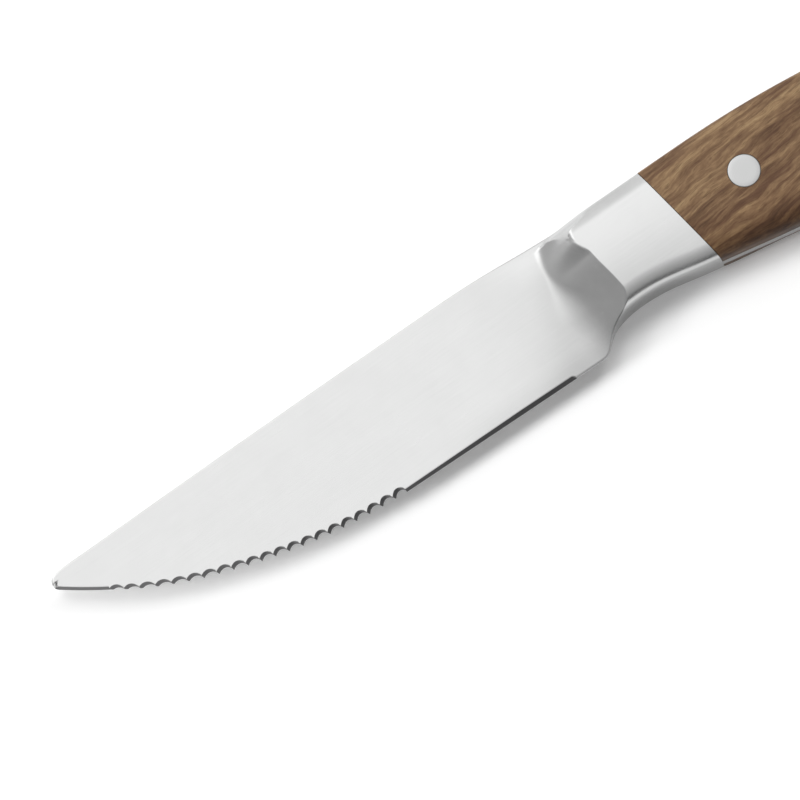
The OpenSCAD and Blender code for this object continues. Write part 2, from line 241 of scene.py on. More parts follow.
def metal_z(x, y, d_up, d_low):
    """Half thickness of the blade and the bolster, before the edge is ground."""
    blade = face_z(x, y)
    half = np.maximum((d_up + d_low) / 2, 0.01)
    # In front of the bolster the blade gets a little thinner towards the spine and the heel.
    blade = blade - 0.60 * smooth(-41, -27, x) * np.clip(1 - d_up / half, 0, 1) ** 4
    blade = blade - 0.18 * smooth(-50, -28, x) * np.clip(1 - d_low / half, 0, 1) ** 2
    cut = soft_max(blade, scoop_z(x, y), 0.5 + 2.0 * smooth(6, -5, y) + 0.3 * smooth(6, 10, y))
    # The spine's edge is eased, and so is the blunt edge at the heel.
    cut = cut - EASE_Z * (1 - np.sqrt(1 - np.clip(1 - d_up / EASE_W, 0, 1) ** 2))
    blunt = BLUNT_Z * smooth(BEVEL_END_X - 0.1, BEVEL_END_X + 0.6, x)
    cut = cut - blunt * (1 - np.sqrt(1 - np.clip(1 - d_low / BLUNT_W, 0, 1) ** 2))
    return soft_min(grip_z(d_up, d_low), cut, 0.12 + 0.5 * smooth(2, 9, y))


class Scallops:
    """The scallops that reach one station: their wheel leans, and is sheared a little along the edge."""

    def __init__(self, degrees, thick):
        s = along_belly(degrees)
        depth = float(np.interp(s, *TOOTH_DEPTH))
        lean_width = float(np.interp(s, *TOOTH_LEAN))
        s += float(np.interp(s, *WANDER))
        k = min(max(math.floor(s / TOOTH_PITCH), 0), TOOTH_N - 1)
        self.places = [s - (n + 0.5) * TOOTH_PITCH for n in (k - 1, k, k + 1) if 0 <= n < TOOTH_N]
        lean = math.atan2(lean_width, thick)
        self.cos, self.sin, self.thick = math.cos(lean), math.sin(lean), thick
        self.gap = TOOTH_R / self.cos - depth

    def widths(self):
        """Where the lower and the upper rim lie, inwards from the edge."""
        first = rim = 0.0
        for e in self.places:
            if abs(e) < TOOTH_R:
                rim = max(rim, math.sqrt(TOOTH_R**2 - e * e) / self.cos - self.gap)
            if abs(e + TOOTH_SHEAR) < TOOTH_R:
                bow = math.sqrt(TOOTH_R**2 - (e + TOOTH_SHEAR) ** 2)
                first = max(first, (bow - self.sin * (self.thick - LAND)) / self.cos - self.gap)
        rim = max(rim, 0.08)
        return min(first, rim - 0.03), rim

    def depth(self, q):
        """How far the ground face lies below the blade's face, at a distance inwards from the edge."""
        down = np.zeros(len(q))
        for e in self.places:
            a, b, c = (q + self.gap) * self.cos, -self.sin, -TOOTH_SHEAR / self.thick
            p2, p1, p0 = b * b + c * c, 2 * (a * b + e * c), a * a + e * e - TOOTH_R**2
            root = np.sqrt(np.clip(p1 * p1 - 4 * p2 * p0, 0, None))
            down = np.maximum(down, np.where(p0 < 0, (p1 + root) / (2 * p2), 0))
        return down


teeth_end = EDGE_SLOPE + math.degrees(TOOTH_N * TOOTH_PITCH / BELLY_R)
joint_low = ray_hit(np.array([0.0, 0.0]), -heading(90 + SLANT), lower)
joint_up = ray_hit(np.array([0.0, 0.0]), heading(90 + SLANT), upper)

# Stations of the blade and bolster, from the point to the joint: each is a place on the lower side, the heading
# of its line across, the kind of its edge and its angle on the belly.
stations = []
for a in np.linspace(BELLY_END - NOSE, teeth_end + 0.03, 44):
    stations.append((on_belly(a), 90 - a, "tip", a))
for a in np.linspace(teeth_end, EDGE_SLOPE, TOOTH_N * 28 + 1):
    stations.append((on_belly(a), 90 - a, "teeth", a))
# Past the belly the stations are closer together towards the heel and the choil.
xs = np.concatenate([
    np.linspace(belly_start[0] + 0.06, -46, 66), np.arange(-45.7, -34.4, 0.3),
    np.linspace(-34.3, -33.7, 7), np.arange(-33.45, HEEL_X, 0.25), np.arange(HEEL_X, -13.6, 0.12),
    np.linspace(-13.5, joint_low[0], 46),
])


def bevel_width(x):
    """Width of the bevel along the plain edge, which stops short of the heel."""
    width = float(np.interp(x, (-74, -46), (0.52, 0.76)))
    return width * float(np.clip((BEVEL_END_X + 0.3 - x) / 0.6, 0, 1)) ** 0.5


for x in xs:
    y = np.interp(x, lower[:, 0], lower[:, 1])
    turn = 90 - EDGE_SLOPE + (CREST_SLANT + EDGE_SLOPE) * smooth(belly_start[0], -28, x)
    turn -= (CREST_SLANT - SLANT) * smooth(-15.5, joint_low[0], x)
    stations.append((np.array([x, y]), float(turn), "plain", 0.0))

# Rows along a station: over the ground edge, the lower side, the face and the upper side.
N_EDGE, N_LOW, N_MID, N_UP = 10, 14, 44, 22
angle_low = np.radians(np.linspace(0, 90, N_EDGE + N_LOW + 1))
share_low = 1 - np.cos(angle_low)
angle_up = np.radians(np.linspace(0, 90, N_UP + 1))
share_up = (1 - np.cos(angle_up)) * np.linspace(0.35, 1, N_UP + 1)
grid, ground, widths = [], [], []
for point, turn, kind, angle in stations:
    way = heading(turn)
    top = ray_hit(point, way, upper)
    length = np.linalg.norm(top - point)
    thick = 2 * face_z(point[0], point[1])
    first, rim = 0.0, 0.4
    if kind == "teeth":
        first, rim = Scallops(angle, thick).widths()
    elif kind == "tip":
        rim = min(TIP_BEVEL_W, 0.45 * length)
    elif point[0] < BEVEL_END_X:
        rim = max(bevel_width(point[0]), 0.4)
    # Rows of the thin blade follow the ground edge; rows of the bolster follow its rounded side.
    low_w = min(UNDER_ROUND, 0.42 * length)
    blade_rows = np.concatenate([
        np.linspace(first, rim, N_EDGE + 1)[:-1],
        rim + (low_w + 0.2 - min(rim, low_w)) * (np.arange(N_LOW + 1) / N_LOW) ** 1.25,
    ])
    side = distance(np.array([point + 0.5 * way]), lower)[0] / 0.5
    grip_rows = share_low * UNDER_ROUND / max(side, 0.6)
    w = smooth(-31, -24, point[0])
    low_rows = (1 - w) * blade_rows + w * grip_rows
    up_w = min(BACK_ROUND, 0.3 * length)
    up_rows = length - (share_up * up_w / math.cos(math.radians(min(abs(turn - 90), 50))))[::-1]
    mid = low_rows[-1] + (up_rows[0] - low_rows[-1]) * np.arange(1, N_MID) / N_MID
    rows = np.concatenate([low_rows, mid, up_rows])
    grid.append(point + rows[:, None] * way)
    ground.append(rows)
    widths.append((first, rim))


def walk(path, share):
    """Place at a share of the steps of a path."""
    at = np.linspace(0, 1, len(path))
    return np.array([np.interp(share, at, path[:, 0]), np.interp(share, at, path[:, 1])])


# The rounded point: its two sides are paired off until they meet.
N_NOSE = 6
apex = int(upper[:, 0].argmin())
nose = upper[:apex + 1 + int(np.argmax(upper[apex + 1:, 0] >= grid[0][-1][0]))]
lower_nose, upper_nose = nose[:apex + 1], nose[apex:][::-1]
upper_nose = np.vstack([grid[0][-1][None], upper_nose])
nose_grid, nose_ground = [], []
share = ground[0] / ground[0][-1]
for t in np.linspace(0, 1, N_NOSE + 2)[1:-1]:
    a, b = walk(lower_nose, t), walk(upper_nose, t)
    nose_grid.insert(0, a + share[:, None] * (b - a))
    nose_ground.insert(0, share * np.linalg.norm(b - a))
grid = np.array(nose_grid + grid)
ground = np.array(nose_ground + ground)
n_st, n_row = ground.shape

flat = grid.reshape(-1, 2)
d_low = distance(flat, lower).reshape(n_st, n_row)
d_up = distance(flat, upper).reshape(n_st, n_row)
x, y = grid[..., 0], grid[..., 1]
# The edge is ground from the upper face only.
half_z = metal_z(x, y, d_up, d_low)
z_top, z_bot = half_z.copy(), -half_z.copy()
is_ground = np.zeros(n_st, bool)
for i in range(n_st):
    k = i - N_NOSE
    kind, angle = (stations[k][2], stations[k][3]) if k >= 0 else ("tip", BELLY_END - NOSE)
    q, top = ground[i], half_z[i][0]
    if kind == "teeth":
        cut = half_z[i] - Scallops(angle, 2 * top).depth(q)
    else:
        if kind == "tip":
            width = widths[k][1] if k >= 0 else 0.4 * q[-1]
        else:
            width = bevel_width(x[i][0])
        cut = np.full(n_row, np.inf)
        if width > 1e-3:
            cut = LAND - top + q / width * (2 * top - LAND)
    is_ground[i] = kind != "plain" or x[i][0] < BEVEL_END_X + 0.2
    z_top[i] = np.minimum(z_top[i], np.maximum(cut, z_bot[i] + 0.02))


def finish_mesh(name, verts, faces, sharp=SHARP, slots=None):
    """New piece from points in metres, welded and smooth but for its sharp edges."""
    mesh = bpy.data.meshes.new(name)
    mesh.from_pydata([tuple(v) for v in verts], [], faces)
    if slots is not None:
        mesh.polygons.foreach_set("material_index", slots)
    bm = bmesh.new()
    bm.from_mesh(mesh)
    bmesh.ops.remove_doubles(bm, verts=bm.verts, dist=2e-7)
    bmesh.ops.dissolve_degenerate(bm, edges=bm.edges, dist=1e-7)
    bmesh.ops.recalc_face_normals(bm, faces=bm.faces)
    bm.to_mesh(mesh)
    bm.free()
    mesh.shade_smooth()
    mesh.set_sharp_from_angle(angle=math.radians(sharp))
    obj = bpy.data.objects.new(name, mesh)
    bpy.context.scene.collection.objects.link(obj)
    return obj


def to_metres(points, z):
    """Places in the part's frame, in metres, from the knife's own X and Y and the heights."""
    return (np.column_stack([points, z]) + HOME) / 1000


# Blade, bolster and tang: an upper and a lower sheet, the walls round them, and the flat tang.
verts = [to_metres(flat, z_top.reshape(-1)), to_metres(flat, z_bot.reshape(-1))]
n_sheet = n_st * n_row
top_i = np.arange(n_sheet).reshape(n_st, n_row)
bot_i = top_i + n_sheet
faces, slots = [], []
# Faces of the ground edge take the second slot, the darkly painted edge steel.
for i in range(n_st - 1):
    for j in range(n_row - 1):
        slots += [int(j < N_EDGE and is_ground[i] and is_ground[i + 1]), 0]
        faces.append((int(top_i[i, j]), int(top_i[i + 1, j]), int(top_i[i + 1, j + 1]), int(top_i[i, j + 1])))
        faces.append((int(bot_i[i, j]), int(bot_i[i, j + 1]), int(bot_i[i + 1, j + 1]), int(bot_i[i + 1, j])))
    for j in (0, n_row - 1):
        slots.append(int(j == 0 and is_ground[i] and is_ground[i + 1]))
        faces.append((int(top_i[i, j]), int(bot_i[i, j]), int(bot_i[i + 1, j]), int(top_i[i + 1, j])))
faces.append([int(v) for v in top_i[0]] + [int(v) for v in bot_i[0][::-1]])

tang_up = upper[upper[:, 0] > joint_up[0] + 0.05]
tang_low = lower[lower[:, 0] > joint_low[0] + 0.05][::-1]
tang_rim = np.vstack([grid[-1][-1][None], tang_up, tang_low[1:], grid[-1][0][None]])
m = len(tang_rim)
start = 2 * n_sheet
verts.append(to_metres(tang_rim, np.full(m, TANG)))
verts.append(to_metres(tang_rim, np.full(m, -TANG)))
inner = grid[-1][1:-1]
verts.append(to_metres(inner, np.full(len(inner), TANG)))
verts.append(to_metres(inner, np.full(len(inner), -TANG)))
rim_t, rim_b = list(range(start, start + m)), list(range(start + m, start + 2 * m))
in_t = [rim_t[-1]] + list(range(start + 2 * m, start + 2 * m + len(inner))) + [rim_t[0]]
in_b = [rim_b[-1]] + list(range(start + 2 * m + len(inner), start + 2 * m + 2 * len(inner))) + [rim_b[0]]
faces.append(rim_t + in_t[1:-1])
faces.append((rim_b + in_b[1:-1])[::-1])
for i in range(m - 1):
    faces.append((rim_t[i], rim_b[i], rim_b[i + 1], rim_t[i + 1]))
for j in range(n_row - 1):
    faces.append((int(top_i[-1, j]), in_t[j], in_t[j + 1], int(top_i[-1, j + 1])))
    faces.append((int(bot_i[-1, j + 1]), in_b[j + 1], in_b[j], int(bot_i[-1, j])))
slots += [0] * (len(faces) - len(slots))
blade = finish_mesh("blade_bolster_and_tang", np.vstack(verts), faces, slots=slots)


def lathe(name, profile, place, sides=96):
    """Closed turned piece from (radius, height) pairs, which run from the axis back to the axis."""
    points, rings = [], []
    for r, h in profile:
        if r < 1e-6:
            rings.append([len(points)])
            points.append((place[0], place[1], h))
        else:
            rings.append(list(range(len(points), len(points) + sides)))
            for k in range(sides):
                a = 2 * math.pi * k / sides
                points.append((place[0] + r * math.cos(a), place[1] + r * math.sin(a), h))
    loops = []
    for low, high in zip(rings[:-1], rings[1:]):
        for k in range(sides):
            n = (k + 1) % sides
            if len(low) == 1:
                loops.append((low[0], high[n], high[k]))
            elif len(high) == 1:
                loops.append((low[k], low[n], high[0]))
            else:
                loops.append((low[k], low[n], high[n], high[k]))
    points = np.array(points)
    return finish_mesh(name, to_metres(points[:, :2], points[:, 2]), loops, TURNED_SHARP)


def cut(obj, cutters):
    """Takes the cutters out of the piece and drops them."""
    for tool in cutters:
        mod = obj.modifiers.new("cut", "BOOLEAN")
        mod.operation, mod.solver, mod.object = "DIFFERENCE", "EXACT", tool
    deps = bpy.context.evaluated_depsgraph_get()
    mesh = bpy.data.meshes.new_from_object(obj.evaluated_get(deps))
    obj.modifiers.clear()
    obj.data = mesh
    for tool in cutters:
        bpy.data.objects.remove(tool, do_unlink=True)
    mesh.shade_smooth()
    mesh.set_sharp_from_angle(angle=math.radians(SHARP))


# The tang's holes for the rivets, cut by tools that reach well past both of its faces.
REACH = 3
hole = [(0, -REACH), (TUBE_R + ROOM, -REACH), (TUBE_R + ROOM, REACH), (0, REACH)]
cut(blade, [lathe("tool", hole, p) for p in RIVETS])


# Scales: rings that step inwards and up round the side, then rows across the crowned face.
first_up = joint_up + SEAM * np.array([1, 0])
first_low = joint_low + SEAM * np.array([1, 0])


def resample(path, n):
    """Points along a path at even steps of its length."""
    s = np.concatenate([[0], np.cumsum(np.linalg.norm(np.diff(path, axis=0), axis=1))])
    t = s[-1] * np.linspace(0, 1, n)
    return np.column_stack([np.interp(t, s, path[:, 0]), np.interp(t, s, path[:, 1])])


side_n = 210
back = resample(np.vstack([first_up[None], upper[upper[:, 0] > first_up[0] + 0.05]]), side_n)
under = resample(np.vstack([first_low[None], lower[lower[:, 0] > first_low[0] + 0.05]]), side_n)
loop = np.vstack([back, under[-2::-1]])
n_loop = len(loop)
# Each ring steps square to the side, but along the joint near it, so that the joint stays flat.
tangent = np.zeros_like(loop)
tangent[1:-1] = loop[2:] - loop[:-2]
tangent[0], tangent[-1] = loop[1] - loop[0], loop[-1] - loop[-2]
tangent /= np.linalg.norm(tangent, axis=1)[:, None]
inward = np.column_stack([tangent[:, 1], -tangent[:, 0]])
joint_way = heading(90 + SLANT)
away = np.abs(loop[:, 0] + loop[:, 1] * math.tan(math.radians(SLANT)))
follow = (1 - smooth(0, 9, away))[:, None]
along = np.where(np.arange(n_loop)[:, None] < side_n, -joint_way, joint_way)
direction = inward * (1 - follow) + along * follow
direction /= np.linalg.norm(direction, axis=1)[:, None]
direction /= np.einsum("ij,ij->i", direction, inward)[:, None]
underside = (1 + inward[:, 1]) / 2
width = BACK_ROUND + (UNDER_ROUND - BACK_ROUND) * underside

LEVELS, ACROSS = 26, 30
rings, heights = [], {1: [], -1: []}
for level in range(LEVELS + 1):
    share = (1 - math.cos(math.radians(90 * level / LEVELS))) * (0.35 + 0.65 * level / LEVELS)
    ring = loop + share * width[:, None] * direction
    rings.append(ring)
    du, dl = distance(ring, upper), distance(ring, lower)
    half = np.maximum((du + dl) / 2, 0.01)
    near = np.clip(1 - np.minimum(du, dl) / half, 0, 1)
    back_rise = (1 - underside) * back_rounding(share * width)
    near_rise = under_rounding(share * width)
    # The far scale has no upright side: behind the joint it curves in at once.
    far_rise = near_rise + (arch(share * width, UNDER_ROUND, 2) - near_rise) * smooth(2, 12, away)
    for side, under_rise in ((1, near_rise), (-1, far_rise)):
        heights[side].append(TANG + (back_rise + underside * under_rise) * (GRIP - TANG - CROWN * near**2))
last = rings[-1]
pairs = n_loop // 2
face_rows, face_heights = [], []
for i in range(pairs + 1):
    a, b = last[i], last[n_loop - 1 - i]
    t = np.linspace(0, 1, ACROSS + 1)[:, None]
    line = a + (b - a) * t
    du, dl = distance(line, upper), distance(line, lower)
    face_rows.append(line)
    face_heights.append(np.maximum(grip_z(du, dl), 0))


def make_scale(name, side):
    """One wooden scale with its rivet pockets: side is 1 for the near one and -1 for the far one."""
    points = [np.vstack(rings)]
    z = [np.concatenate(heights[side])]
    count = len(rings) * n_loop
    face_ids = []
    top_start = (len(rings) - 1) * n_loop
    for i in range(pairs + 1):
        ids = [top_start + i]
        if i < pairs:
            ids += list(range(count, count + ACROSS - 1))
            points.append(face_rows[i][1:-1])
            z.append(face_heights[i][1:-1])
            count += ACROSS - 1
            ids.append(top_start + n_loop - 1 - i)
        face_ids.append(ids)
    loops = []
    for r in range(len(rings) - 1):
        for i in range(n_loop - 1):
            a, b = r * n_loop + i, r * n_loop + i + 1
            loops.append((a, b, b + n_loop, a + n_loop))
    for i in range(pairs - 1):
        for j in range(ACROSS):
            p, q = face_ids[i], face_ids[i + 1]
            loops.append((p[j], q[j], q[j + 1], p[j + 1]))
    tail, end = face_ids[pairs - 1], face_ids[pairs][0]
    for j in range(ACROSS):
        loops.append((tail[j], end, tail[j + 1]))
    loops.append(list(range(n_loop)))
    joint = [r * n_loop for r in range(len(rings))]
    joint += face_ids[0][1:-1]
    joint += [r * n_loop + n_loop - 1 for r in range(len(rings) - 1, -1, -1)]
    loops.append(joint[::-1])
    points, z = np.vstack(points), np.concatenate(z)
    obj = finish_mesh(name, to_metres(points, side * z), loops)
    # The tools start below the tang's face and end above the scale's.
    seat, low, high = GRIP - HEAD_T, 1.0, GRIP + 1
    pocket = [
        (0, low), (TUBE_R + ROOM, low), (TUBE_R + ROOM, seat), (HEAD_R + HEAD_ROOM, seat),
        (HEAD_R + HEAD_ROOM, high), (0, high)]
    pocket = [(r, side * h) for r, h in pocket][::side]
    cut(obj, [lathe("tool", pocket, p) for p in RIVETS])
    return obj


near_scale = make_scale("near_wooden_scale", 1)
far_scale = make_scale("far_wooden_scale", -1)

# Rivets: each head is turned with a small bevel and lies flush; the post fills the tube.
BEVEL = [(HEAD_R, 0.20), (HEAD_R - 0.03, 0.10), (HEAD_R - 0.11, 0.04), (HEAD_R - 0.24, 0.015)]
head = [(r, GRIP - h) for r, h in BEVEL]
dome = [(2.2, GRIP - 0.004), (1.1, GRIP - 0.001), (0, GRIP)]
# The two halves are equally long, and each ends this far short of the other's head.
SHORT_BY = 0.6
length = 2 * GRIP - HEAD_T - SHORT_BY
low = GRIP - length
rivets = {}
for name, place in zip(("front", "middle", "rear"), RIVETS):
    tube = lathe(
        f"{name}_rivet_tube_half",
        [(0, GRIP - HEAD_T), (BORE_R, GRIP - HEAD_T), (BORE_R, low), (TUBE_R - 0.1, low),
         (TUBE_R, low + 0.1), (TUBE_R, GRIP - HEAD_T), (HEAD_R - 0.08, GRIP - HEAD_T),
         (HEAD_R, GRIP - HEAD_T + 0.08), *head, *dome], place)
    post = lathe(
        f"{name}_rivet_post_half",
        [(0, -GRIP), *[(r, -h) for r, h in dome[1::-1]], *[(r, -h) for r, h in head[::-1]],
         (HEAD_R, -GRIP + HEAD_T - 0.08), (HEAD_R - 0.08, -GRIP + HEAD_T), (POST_R, -GRIP + HEAD_T),
         (POST_R, length - GRIP - 0.15), (POST_R - 0.15, length - GRIP), (0, length - GRIP)], place)
    rivets[name] = (tube, post)


class Nodes:
    """Short way to add and link shader nodes."""

    def __init__(self, tree):
        self.tree = tree
        tree.nodes.clear()

    def add(self, kind, inputs=None, **props):
        node = self.tree.nodes.new(kind)
        for key, value in props.items():
            setattr(node, key, value)
        for key, value in (inputs or {}).items():
            if isinstance(value, bpy.types.NodeSocket):
                self.tree.links.new(value, node.inputs[key])
            else:
                node.inputs[key].default_value = value
        return node

    def ramp(self, value, stops, interpolation="LINEAR"):
        node = self.add("ShaderNodeValToRGB", {"Fac": value})
        node.color_ramp.interpolation = interpolation
        elements = node.color_ramp.elements
        while len(elements) < len(stops):
            elements.new(0.5)
        for element, (at, colour) in zip(elements, stops):
            element.position = at
            element.color = (*colour, 1) if isinstance(colour, tuple) else (colour, colour, colour, 1)
        return node.outputs["Color"]

    def noise(self, vector, scale, detail=4, roughness=0.55, distortion=0.0):
        return self.add("ShaderNodeTexNoise", {
            "Vector": vector, "Scale": scale, "Detail": detail, "Roughness": roughness,
            "Distortion": distortion}).outputs["Fac"]

    def stretch(self, vector, scale, turn=0.0):
        """Turns the place about Z, then scales it, so that a stretched noise runs along the turned X axis."""
        turned = self.add("ShaderNodeMapping", {
            "Vector": vector, "Rotation": (0, 0, math.radians(-turn))}).outputs["Vector"]
        return self.add("ShaderNodeMapping", {"Vector": turned, "Scale": scale}).outputs["Vector"]

    def maths(self, operation, a, b=0.5, c=0.5):
        return self.add("ShaderNodeMath", {0: a, 1: b, 2: c}, operation=operation).outputs[0]

    def fade(self, value, low, high, start, end):
        """Goes smoothly from start to end while the value goes from low to high."""
        return self.add("ShaderNodeMapRange", {
            "Value": value, "From Min": low, "From Max": high, "To Min": start, "To Max": end},
            interpolation_type="SMOOTHSTEP").outputs[0]

    def mix(self, share, a, b, blend="MIX"):
        node = self.add("ShaderNodeMix", data_type="RGBA", blend_type=blend)
        for socket, value in ((node.inputs["Factor"], share), (node.inputs[6], a), (node.inputs[7], b)):
            if isinstance(value, bpy.types.NodeSocket):
                self.tree.links.new(value, socket)
            else:
                socket.default_value = (*value, 1) if isinstance(value, tuple) else value
        return node.outputs[2]


def steel(name, colour, rough, brush, turn=0.0, shade=None):
    """Satin stainless steel with fine brushing, faint clouds and a few scratches."""
    material = bpy.data.materials.new(name)
    material.use_nodes = True
    n = Nodes(material.node_tree)
    place = n.add("ShaderNodeTexCoord").outputs["Object"]
    lines = n.noise(n.stretch(place, (90, 5200, 5200), turn), 1.0, 3, 0.6)
    hair = n.noise(n.stretch(place, (14, 1500, 1500), turn), 1.0, 2, 0.5, 0.2)
    cloud = n.noise(place, 150.0, 4, 0.6)
    tone = n.ramp(cloud, [(0.3, tuple(c * 0.955 for c in colour)), (0.7, colour)])
    tone = n.mix(0.05, tone, n.ramp(lines, [(0.3, 0.2), (0.7, 1.0)]), "MULTIPLY")
    # Painted shade given by the caller multiplies the colour.
    if shade:
        tone = n.mix(1.0, tone, shade(n, place), "MULTIPLY")
    wear = n.maths("ADD", n.maths("MULTIPLY", lines, 0.10), n.maths("MULTIPLY", cloud, 0.10))
    height = n.maths("ADD", lines, n.maths("MULTIPLY", hair, 0.6))
    bump = n.add("ShaderNodeBump", {"Height": height, "Strength": brush, "Distance": 0.00002})
    shader = n.add("ShaderNodeBsdfPrincipled", {
        "Base Color": tone, "Metallic": 1.0, "Roughness": n.maths("ADD", wear, rough - 0.1),
        "Normal": bump.outputs["Normal"]})
    n.add("ShaderNodeOutputMaterial", {"Surface": shader.outputs["BSDF"]})
    return material


def in_knife_frame(n, place):
    """X and Y of a place in millimetres, in the knife's own frame."""
    part = n.add("ShaderNodeSeparateXYZ", {0: place}).outputs
    x = n.maths("SUBTRACT", n.maths("MULTIPLY", part["X"], 1000.0), float(HOME[0]))
    return x, n.maths("SUBTRACT", n.maths("MULTIPLY", part["Y"], 1000.0), float(HOME[1]))


def blade_polish_and_painted_shade(n, place):
    """The blade is polished a little brighter than the bolster; the rest is painted shade: darker in front of
    the choil, near the lower edge of the blade's heel half and on the forging's narrow lower side.
    """
    x, y = in_knife_frame(n, place)
    bright = n.fade(x, -48.0, -28.0, 1.0, 0.91)
    # Painted shade in front of the choil, where the face of the heel reflects darker.
    heel = n.fade(n.maths("SUBTRACT", x, n.maths("MULTIPLY", y, 0.5)), -36.0, -26.0, 0.0, 1.0)
    ahead = n.fade(n.maths("ADD", x, n.maths("MULTIPLY", y, 0.22)), -27.5, -22.0, 1.0, 0.0)
    heel_painted_shade = n.maths("MULTIPLY", n.maths("MULTIPLY", heel, ahead), 0.10)
    # Painted shade: darker near the lower edge of the blade's heel half.
    low = n.fade(y, -13.0, -8.0, 0.10, 0.0)
    near = n.fade(x, -66.0, -46.0, 0.0, 1.0)
    # Painted shade: the narrow lower side's share from the mesh darkens the colour.
    side = n.maths("MULTIPLY", n.add("ShaderNodeAttribute", attribute_name="side").outputs["Fac"], 0.42)
    bright = n.maths("SUBTRACT", n.maths("SUBTRACT", bright, heel_painted_shade), n.maths("MULTIPLY", low, near))
    return n.maths("SUBTRACT", bright, side)


def wood(name, shift):
    """Oiled brown hardwood: wavy tan and dark streaks along the handle, veins, short fibres and pores."""
    material = bpy.data.materials.new(name)
    material.use_nodes = True
    n = Nodes(material.node_tree)
    place = n.add("ShaderNodeTexCoord").outputs["Object"]
    moved = n.add("ShaderNodeVectorMath", {0: place, 1: shift}, operation="ADD").outputs[0]
    wave = n.maths("SUBTRACT", n.noise(n.stretch(moved, (60, 130, 130)), 1.0, 2, 0.5), 0.5)
    ripple = n.maths("SUBTRACT", n.noise(n.stretch(moved, (260, 420, 420)), 1.0, 2, 0.5), 0.5)
    sway = n.maths("ADD", n.maths("MULTIPLY", wave, 0.0036), n.maths("MULTIPLY", ripple, 0.0007))
    bent = n.add("ShaderNodeVectorMath", {
        0: moved, 1: n.add("ShaderNodeCombineXYZ", {"Y": sway}).outputs[0]}, operation="ADD").outputs[0]
    broad = n.noise(n.stretch(bent, (42, 330, 330), 5), 1.0, 3, 0.55)
    streak = n.noise(n.stretch(bent, (80, 1000, 1000), 5), 1.0, 3, 0.62)
    veins = n.noise(n.stretch(bent, (50, 700, 700), 5), 1.0, 2, 0.45)
    fibre = n.noise(n.stretch(bent, (480, 2000, 2000), 9), 1.0, 3, 0.65, 0.2)
    pores = n.noise(n.stretch(bent, (420, 6200, 6200), 5), 1.0, 2, 0.5)
    blend = n.maths("ADD", n.maths("MULTIPLY", broad, 0.42), n.maths("MULTIPLY", streak, 0.36))
    blend = n.maths("ADD", blend, n.maths("MULTIPLY", fibre, 0.20))
    tone = n.ramp(blend, [
        (0.36, (0.085, 0.045, 0.024)), (0.44, (0.150, 0.085, 0.045)), (0.50, (0.215, 0.130, 0.070)),
        (0.56, (0.300, 0.195, 0.103)), (0.66, (0.430, 0.300, 0.165))])
    pore_mask = n.ramp(pores, [(0.34, 1.0), (0.42, 0.0)])
    tone = n.mix(n.maths("MULTIPLY", pore_mask, 0.45), tone, (0.060, 0.031, 0.016))
    vein_mask = n.ramp(veins, [(0.34, 1.0), (0.41, 0.0), (0.60, 0.0), (0.66, 0.75)])
    tone = n.mix(n.maths("MULTIPLY", vein_mask, 0.55), tone, (0.080, 0.036, 0.022))
    # Painted shade: the wood's colour darkens towards its underside, whose depth a ramp holds as a share along
    # the handle.
    reach, depth, band = 108.0, 30.0, 10.0
    x, y = in_knife_frame(n, place)
    under = n.ramp(n.maths("DIVIDE", x, reach), [
        (at, float(-np.interp(reach * at, lower[:, 0], lower[:, 1]) / depth))
        for at in np.linspace(0, 0.98, 12)])
    above = n.maths("ADD", y, n.maths("MULTIPLY", under, depth))
    shade = n.ramp(n.maths("DIVIDE", above, band), [
        (0.0, (0.36, 0.30, 0.27)), (0.30, (0.62, 0.56, 0.52)), (0.60, (0.93, 0.90, 0.88)),
        (0.9, (1.0, 1.0, 1.0))])
    tone = n.mix(1.0, tone, shade, "MULTIPLY")
    height = n.maths("SUBTRACT", n.maths("MULTIPLY", blend, 0.8), pore_mask)
    bump = n.add("ShaderNodeBump", {"Height": height, "Strength": 0.35, "Distance": 0.00006})
    rough = n.maths("ADD", n.maths("MULTIPLY", broad, 0.15), 0.45)
    shader = n.add("ShaderNodeBsdfPrincipled", {
        "Base Color": tone, "Roughness": rough, "Specular IOR Level": 0.25, "Normal": bump.outputs["Normal"]})
    n.add("ShaderNodeOutputMaterial", {"Surface": shader.outputs["BSDF"]})
    return material


# Painted shade on the forging's narrow lower side, whose colour is darkened against its polished faces: the
# share of that side at each point.
spots = np.empty(3 * len(blade.data.vertices))
blade.data.vertices.foreach_get("co", spots)
spots = spots.reshape(-1, 3)[:, :2] * 1000 - HOME[:2]
painted_side_shade_share = (1 - smooth(0.02, 0.5, distance(spots, lower))) * smooth(-26, -20, spots[:, 0])
blade.data.attributes.new("side", "FLOAT", "POINT").data.foreach_set("value", painted_side_shade_share)

blade.data.materials.append(steel("satin_blade_steel", (0.675, 0.677, 0.675), 0.24, 0.10, shade=blade_polish_and_painted_shade))
# Painted shade: the ground edge's steel is given a very dark colour, standing for the dark reflection in its
# faces.
blade.data.materials.append(steel("ground_edge_painted_dark_steel", (0.14, 0.14, 0.142), 0.40, 0.25, 90))
near_scale.data.materials.append(wood("brown_wood", (0.0, 0.0, 0.0)))
far_scale.data.materials.append(wood("brown_wood_far", (0.31, 0.17, 0.05)))
rivet_steel = steel("turned_rivet_steel", (0.53, 0.532, 0.53), 0.30, 0.10, 35)

for piece, node, slot in (
    (blade, "forged_blade", "blade_steel"),
    (near_scale, "near_scale", "scale_wood"),
    (far_scale, "far_scale", "scale_wood"),
):
    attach(piece, "root")
    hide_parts(node)
for name, (tube, post) in rivets.items():
    for piece, half in ((tube, "tube"), (post, "post")):
        piece.data.materials.append(rivet_steel)
        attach(piece, "root")
        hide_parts(f"{name}_rivet_{half}")

